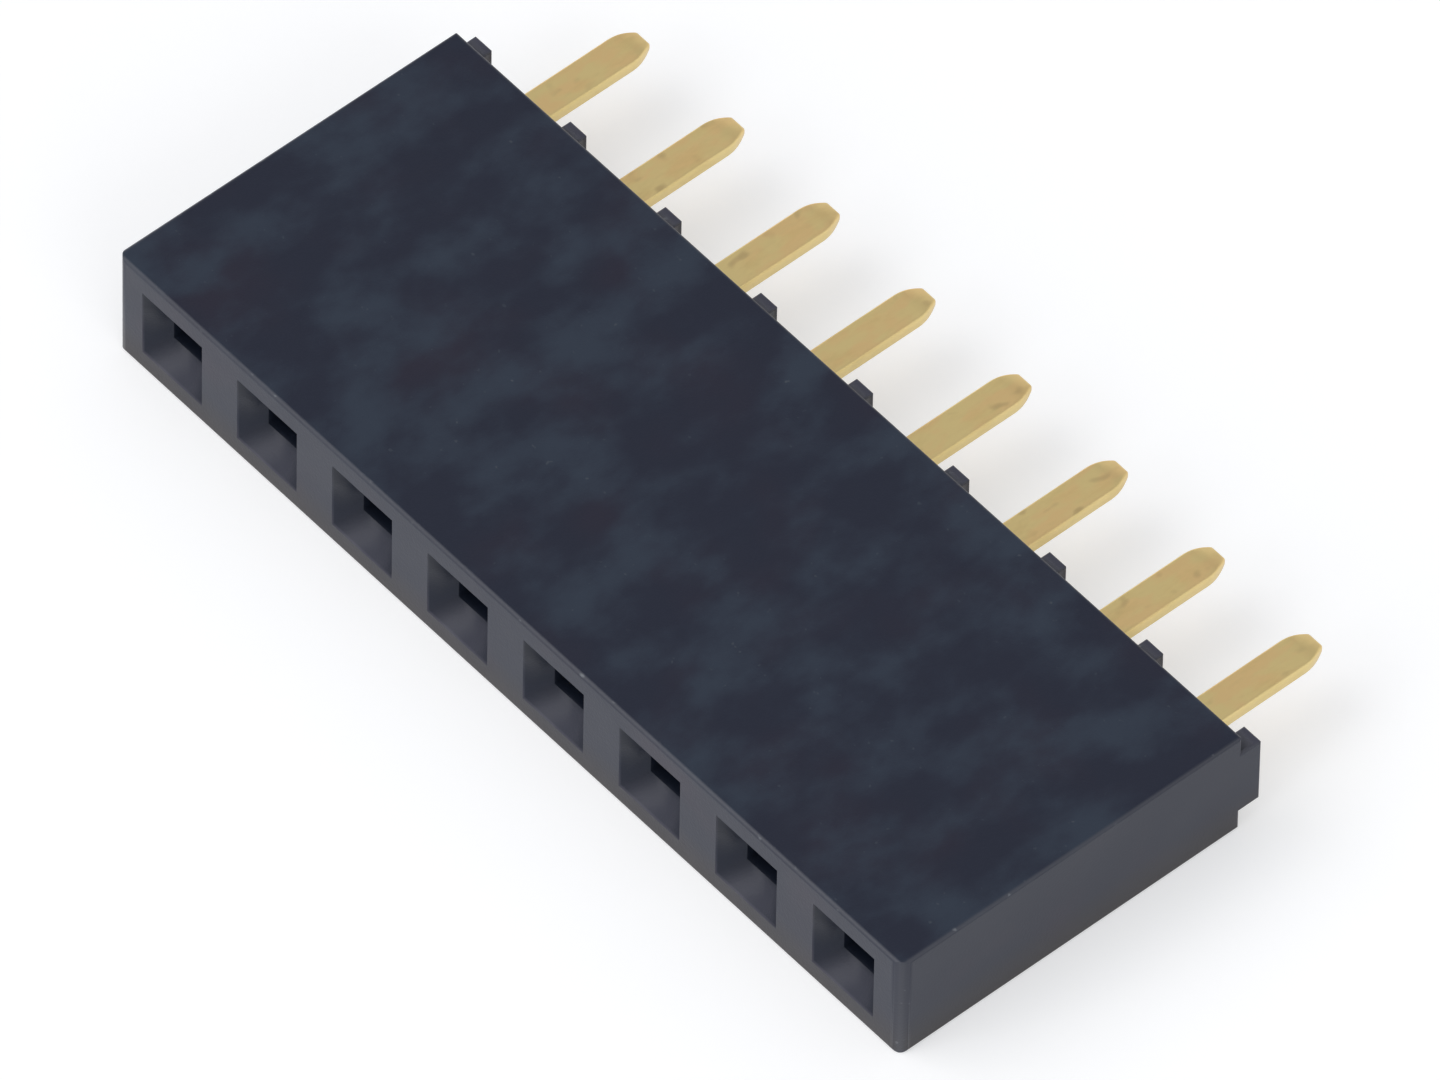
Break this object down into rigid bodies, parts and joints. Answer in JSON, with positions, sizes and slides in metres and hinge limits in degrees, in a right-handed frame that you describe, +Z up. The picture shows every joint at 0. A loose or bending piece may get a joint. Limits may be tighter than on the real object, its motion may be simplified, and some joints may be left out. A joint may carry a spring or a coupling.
{
  "type": "female pin header strip",
  "caption": "Single-row female pin header: moulded housing with square lead-in sockets on one side and flat gold-flashed solder tails between short standoff ribs on the other.",
  "frame": {"origin": "bottom centre of the bounding box: the middle of the part's length and of its depth from mating face to tail tips, on the plane of the broad face that it lies on", "axes": "+X along the row, +Y from the mating face to the solder tails, +Z up through the thickness, out of the broad face that faces up"},
  "size_m": [0.0208, 0.0108, 0.0025],
  "materials": {
    "housing_plastic": "matte moulded thermoplastic, near black with a cool blue-grey cast",
    "contact_metal": "spring bronze strip with a thin satin gold flash"
  },
  "bodies": {
    "root": {"housing": "housing_plastic", "contact_1": "contact_metal", "contact_2": "contact_metal", "contact_3": "contact_metal", "contact_4": "contact_metal", "contact_5": "contact_metal", "contact_6": "contact_metal", "contact_7": "contact_metal", "contact_8": "contact_metal"}
  },
  "joints": []
}
